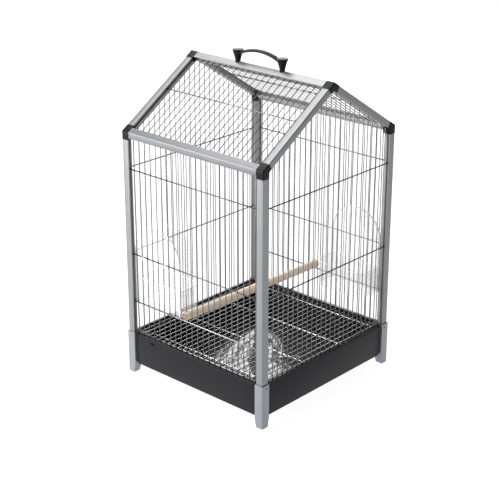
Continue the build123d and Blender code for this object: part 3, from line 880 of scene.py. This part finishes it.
def roof_panel():
    """Left slope. The wires lie below the roof plane by the same distance as the uprights of a
    side lie inside the frame."""
    deep = half_wide - side_x
    up = (half_wide - roof_rail_x) / cos_slope
    low, high, at = (np.array([on_slope(place, deep, y) for y in side_y]) for place in (
        eave_top - wire_tuck, slope_run - ridge_face + wire_tuck, up))
    rail_at = on_slope(up, deep - roof_wire - roof_rail_wire)
    reach = np.array([0, half_deep - post_side + wire_tuck, 0])
    return joined(wires(low, high, roof_wire),
                  wires([rail_at - reach], [rail_at + reach], roof_rail_wire),
                  pressed(at, -2 * roof_wire * into_roof, 0.0008))


roof_finish = plated_metal("roof wire plating", 0.09, 0.22)
make_each("wires_of_{}_roof", roof_panel(), roof_finish, "roof_wires_{}", SIDES)


# Perch: a turned wooden dowel, slotted at each end over an upright, resting on the low rails.
# One end sits a wire further back than the other.
perch_radius = 0.0102
perch_half = 0.2225
perch_slot = 0.0032
perch_slot_deep = 0.011
perch_height = low_height + low_rail_wire + rest_gap + perch_radius
perch_turn = math.atan2(side_pitch, 2 * side_x)


def perch_shape():
    """Dowel along X in three runs of rings: a whole middle, and two ends of two cheeks each. A
    cheek's outline is an arc of the circle closed by the slot's flat side. Then it is turned
    about the upright axis to its slant."""
    bevel = 0.0012
    circle = perch_radius * np.column_stack([np.cos(turns(40)), np.sin(turns(40))])
    middle = perch_half - perch_slot_deep
    shapes = [skin(stacked(0, [(-middle, circle), (middle, circle)]))]
    for cheek, side in CORNERS.values():
        rings = []
        for x, inset in ((middle, 0.0), (perch_half - bevel, 0.0), (perch_half, bevel)):
            radius = perch_radius - inset
            half = math.acos(perch_slot / 2 / radius)
            arc = np.linspace(-half, half, 21)
            rings.append((side * x, radius * np.column_stack([cheek * np.cos(arc), np.sin(arc)])))
        shapes.append(skin(stacked(0, rings)))
    points, faces = joined(*shapes)
    cos, sin = math.cos(perch_turn), math.sin(perch_turn)
    turn = np.array([[cos, sin, 0], [-sin, cos, 0], [0, 0, 1]])
    return points @ turn.T + (0, side_pitch, perch_height), faces


def turned_wood():
    """Pale wood: long grain from noise stretched along the dowel, with finer pores over it. The
    cut ends are darker."""
    pale, dark, end = (0.93, 0.79, 0.66), (0.79, 0.63, 0.50), (0.20, 0.13, 0.09)
    finish = Finish("perch wood")
    turn = (0, 0, -perch_turn)
    grain = finish.noise(finish.place(scale=(6, 130, 130), turn=turn), 1.0, detail=5.0)
    pores = finish.noise(finish.place(scale=(40, 900, 900), turn=turn), 1.0, detail=2.0)
    cut = abs(finish.at(0)) > perch_half * math.cos(perch_turn) - 0.0006
    shade = grain * 0.75 + pores * 0.25
    streak = finish.node("ValToRGB", {"stops": [(0.36, dark), (0.62, pale)]}, {0: shade})
    finish.set(
        Base_Color=finish.mix(cut, streak, end),
        Roughness=0.52 + shade * 0.16,
        Normal=finish.bump(shade, 0.25, 0.0002),
    )
    return finish


make("dowel", perch_shape(), turned_wood(), "perch")


# Feeder hoods: clear mouldings with an arched top, open in front, that hook over a level wire.
# Each is one wall bent round three sides, with a back, two feet and two hooks.
hood_low, hood_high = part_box("feeder_hood_left")
cup_low, cup_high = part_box("feeder_cup_left")
clear_wall = 0.002
hood_back = cup_low[0] - clear_wall - rest_gap
hood_y = (hood_low[1] + hood_high[1]) / 2
hood_half = (hood_high[1] - hood_low[1]) / 2
hood_spring = hood_high[2] - hood_half
foot_wide = 0.006               # of the ledges that the cup slides over, from the hood's side
hook_at = (0.0885, 0.1593)
hook_half = 0.004
hook_under = middle_height + rail_wire + rest_gap
hook_drop = 0.008


def clear_plastic(name, edge):
    """Clear moulding: a thin whitish haze, a little cloudy in patches, that lets most light
    through. It is denser where `edge`, which gets the distances from the middle along X and Y
    and the height, gives 1: a painted highlight along the rims, where clear plastic shows bright
    edges."""
    finish = Finish(name)
    cloud = finish.noise(finish.place(), 30.0)
    flow = finish.noise(finish.place(scale=(1, 1, 6)), 40.0, detail=4.0)
    rim_highlight = edge(abs(finish.at(0)), abs(finish.at(1)), finish.at(2))
    finish.set(
        Base_Color=finish.mix(cloud, (0.94, 0.95, 0.97), (0.99, 0.99, 1.0)),
        Roughness=0.10 + cloud * 0.08,
        Alpha=0.12 + cloud * 0.07 + rim_highlight * 0.60,
        Normal=finish.bump(flow, 0.08, 0.0001),
    )
    return finish


def doorway(inset):
    """Y and Z of an arched outline: up one side, over a half circle, and down the other."""
    turn = np.linspace(0, math.pi, 28)
    reach = hood_half - inset
    top = np.column_stack([reach * np.cos(turn), hood_spring + reach * np.sin(turn)])
    return np.concatenate([[(reach, hood_low[2])], top, [(-reach, hood_low[2])]])


def hood_shape():
    """The wall is a loop that goes out over the arch and back under it, carried along X. The
    back closes it. The feet are slabs, and each hook is an outline carried along Y."""
    soft, front, back = 0.0003, hood_high[0], hood_back + clear_wall
    loops = [(x, np.concatenate([doorway(inset), doorway(clear_wall - inset)[::-1]]))
             for x, inset in ((hood_back, 0), (front - soft, 0), (front, soft))]
    panes = [(x, doorway(clear_wall)) for x in (hood_back, back)]
    shapes = [skin(stacked(0, rows) + (0, hood_y, 0)) for rows in (loops, panes)]
    for side in (-1, 1):
        shapes.append(slab((back, hood_y + side * (hood_half - clear_wall), hood_low[2]),
                           (front, hood_y + side * (hood_half - foot_wide), hood_low[2] + clear_wall)))
    outer, inner, drop = hood_low[0], hood_low[0] + clear_wall, hook_under - hook_drop
    arm = np.array([(hood_back, hook_under), (inner, hook_under), (inner, drop), (outer, drop),
                    (outer, hook_under + clear_wall), (hood_back, hook_under + clear_wall)])
    shapes += [skin(stacked(1, [(end, arm) for end in both(y, hook_half)])) for y in hook_at]
    return joined(*shapes)


def slab(low, high):
    """Flat slab between two corners, with its upright edges rounded by half a millimetre."""
    low, high = np.minimum(low, high), np.maximum(low, high)
    loop = rounded(rectangle(low, high), 0.0005, 0, 3)
    return skin(stacked(2, [(low[2], loop), (high[2], loop)]))


def hood_rim(along, across, height):
    """A ring round the back: the square of the distance from the arch's middle, or from the
    upright line below it, is above that of the ring's inner side. The ring takes the denser haze
    of a painted highlight."""
    ring_wide, ring_deep = 0.0025, 0.004
    above = height.maths("MAXIMUM", height - hood_spring, 0.0)
    ring = (across - hood_y) ** 2 + above ** 2 > (hood_half - ring_wide) ** 2
    return ring * (along > -ring_deep - hood_back)


hood_finish = clear_plastic("clear hood plastic", hood_rim)
OPPOSITE = {"left": (-1, -1), "right": (1, 1)}
make_each("hood_{}", hood_shape(), hood_finish, "feeder_hood_{}", OPPOSITE)


# Feeder cups: clear trays that slide into the feet of the hoods. Each is flat at the back and
# round at its two front corners.
cup_round = 0.030
cup_lip = 0.002


def cup_shape():
    """Rows from the underside up the outside, over the lip and down the inside to the floor."""
    corners, rounds = rectangle(cup_low, cup_high), [0.001, cup_round, cup_round, 0.001]
    low, high, floor = cup_low[2], cup_high[2], cup_low[2] + clear_wall
    foot, lip_round, bend = 0.0016, 0.0004, 0.3 * floor_round
    rows = [(foot, low), (0.0005, low + 0.0005), (0.0, low + foot), (0.0, high - lip_round),
            (lip_round, high), (clear_wall - lip_round, high), (clear_wall, high - lip_round),
            (clear_wall, floor + floor_round), (clear_wall + bend, floor + bend),
            (clear_wall + floor_round, floor)]
    return skin(stacked(2, [(height, rounded(corners, rounds, inset, 10)) for inset, height in rows]))


# Painted highlight: the top of the cup's lip takes the denser haze.
cup_finish = clear_plastic("clear cup plastic",
                           lambda along, across, height: height > cup_high[2] - cup_lip)
make_each("cup_{}", cup_shape(), cup_finish, "feeder_cup_{}", OPPOSITE)


# Handle stems: black moulded trumpets that stand astride the ridge bar and end in flat rims. A
# screw from below holds each of them.
handle_y = 0.066
stem_low_radius = 0.006
stem_top_radius = 0.0128
stem_tall = 0.027
stem_rim = 0.002
stem_flare = 1.3
rim_soft = 0.0008
handle_finish = dull_plastic("handle plastic", *black_tones, 0.36, 1500.0)


def stem_shape():
    """Turned profile whose radius grows with a power of the height, up to a rounded rim. Its
    lowest row follows the two slopes of the ridge bar: it falls by their tangent times x."""
    up = np.linspace(0, 1, 14)
    radius = stem_low_radius + (stem_top_radius - stem_low_radius) * up ** stem_flare
    height = up * (stem_tall - stem_rim)
    bend = np.linspace(0, math.pi / 2, 5)
    rim_radius = stem_top_radius - rim_soft * (1 - np.cos(bend))
    rim_height = stem_tall - rim_soft * (1 - np.sin(bend))
    radius = np.concatenate([[stem_low_radius], radius, rim_radius])[:, None]
    height = np.concatenate([[0.0], height, rim_height])[:, None]
    x, y = radius * np.cos(turns(40)), radius * np.sin(turns(40))
    z = np.repeat(height, 40, axis=1)
    z[0] = -np.abs(x[0]) * tan_slope
    return skin(spread(x, y - handle_y, z + ridge_height))


make_each("stem_{}", stem_shape(), handle_finish, "handle_stem_{}", ENDS)


# Handle grip: a thin band of the stems' black plastic, moulded in an arch from one to the other.
# Its ends lie just below their rims.
grip_wide = 0.010
grip_thick = 0.0065
grip_span = 0.120               # between the arc's ends
grip_rise = 0.0137              # of the arc's crown above its ends
grip_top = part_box("handle_grip")[1][2]


def grip_shape():
    """Rounded section carried along an arc about a level axis. The arc goes through the middle
    of the section at both ends and at the crown."""
    half = grip_span / 2
    radius = (half ** 2 + grip_rise ** 2) / (2 * grip_rise)
    turn = np.linspace(-1, 1, 33)[:, None] * math.asin(half / radius)
    corner = np.array([grip_wide, grip_thick]) / 2
    x, out = rounded(rectangle(-corner, corner), 0.0018).T
    reach = radius + out
    height = grip_top - grip_thick / 2 - radius + reach * np.cos(turn)
    return skin(spread(x, reach * np.sin(turn), height))


make("grip", grip_shape(), handle_finish, "handle_grip")


# Handle screws: plated pan heads under the ridge bar, whose shanks go up through it into the
# stems.
pan_low, pan_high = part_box("handle_screws")
screw_length = pan_high[2] - pan_low[2] - head_tall
pan_head = np.array([0, -handle_y, pan_low[2] + head_tall])
handle_screw = screw(pan_head, -z_axis, x_axis, screw_length)
make("screws_of_handle", joined(handle_screw, mirrored(handle_screw, -1, 1)), screw_finish,
     "handle_screws")


# Studio: a pale plain floor that glows faintly, so that it reads as white and keeps a soft
# contact shadow. Soft lamps stand on the left, above, and low before the gable, and a large one
# behind is mirrored by the tub's floor. The surround is grey, so that bright metal has dark tones.
floor_finish = Finish("studio floor", Roughness=0.9, Emission_Strength=1.0)
floor_finish.set(Base_Color=(0.2, 0.2, 0.2, 1), Emission_Color=(0.95, 0.95, 0.95, 1))
floor_mesh = bpy.data.meshes.new("studio_floor")
reach = np.array([40.0, 40.0])
floor_mesh.from_pydata([(x, y, 0) for x, y in rectangle(-reach, reach)], [], [(0, 1, 2, 3)])
floor_mesh.materials.append(floor_finish.material)
floor = bpy.data.objects.new("studio_floor", floor_mesh)
bpy.context.scene.collection.objects.link(floor)


def lamp(name, place, aim, size, power):
    """Square soft lamp at a place, turned to face a point."""
    light = bpy.data.lights.new(name, "AREA")
    light.size = size
    light.energy = power
    body = bpy.data.objects.new(name, light)
    body.location = place
    body.rotation_euler = (Vector(aim) - Vector(place)).to_track_quat("-Z", "Y").to_euler()
    bpy.context.scene.collection.objects.link(body)


lamp("lamp_left", (-1.7, 1.0, 0.8), (-0.2, 0, 0.45), 1.0, 58)
lamp("lamp_above", (-0.1, 0.8, 2.4), (-0.1, 0.6, 0), 1.6, 50)
lamp("lamp_behind", (2.39, 2.62, 1.45), (0, 0, 0.05), 2.5, 78)
lamp("lamp_low", (0.3, -1.4, 0.05), (0.0, -0.2, 0.05), 0.7, 3)
world = bpy.data.worlds.new("studio")
world.use_nodes = True
surround = world.node_tree.nodes["Background"].inputs
surround["Color"].default_value = (1, 1, 1, 1)
surround["Strength"].default_value = 0.18
bpy.context.scene.world = world
bpy.context.scene.view_settings.view_transform = "Standard"

# Camera: a long lens, from above the cage's front left corner.
camera = bpy.data.objects.new("camera", bpy.data.cameras.new("camera"))
camera.data.lens = 96.1
camera.location = (-2.15549, -1.93419, 1.48209)
camera.rotation_euler = (math.radians(90 - 22.16), math.radians(-0.06), math.radians(-47.65))
bpy.context.scene.collection.objects.link(camera)
bpy.context.scene.camera = camera
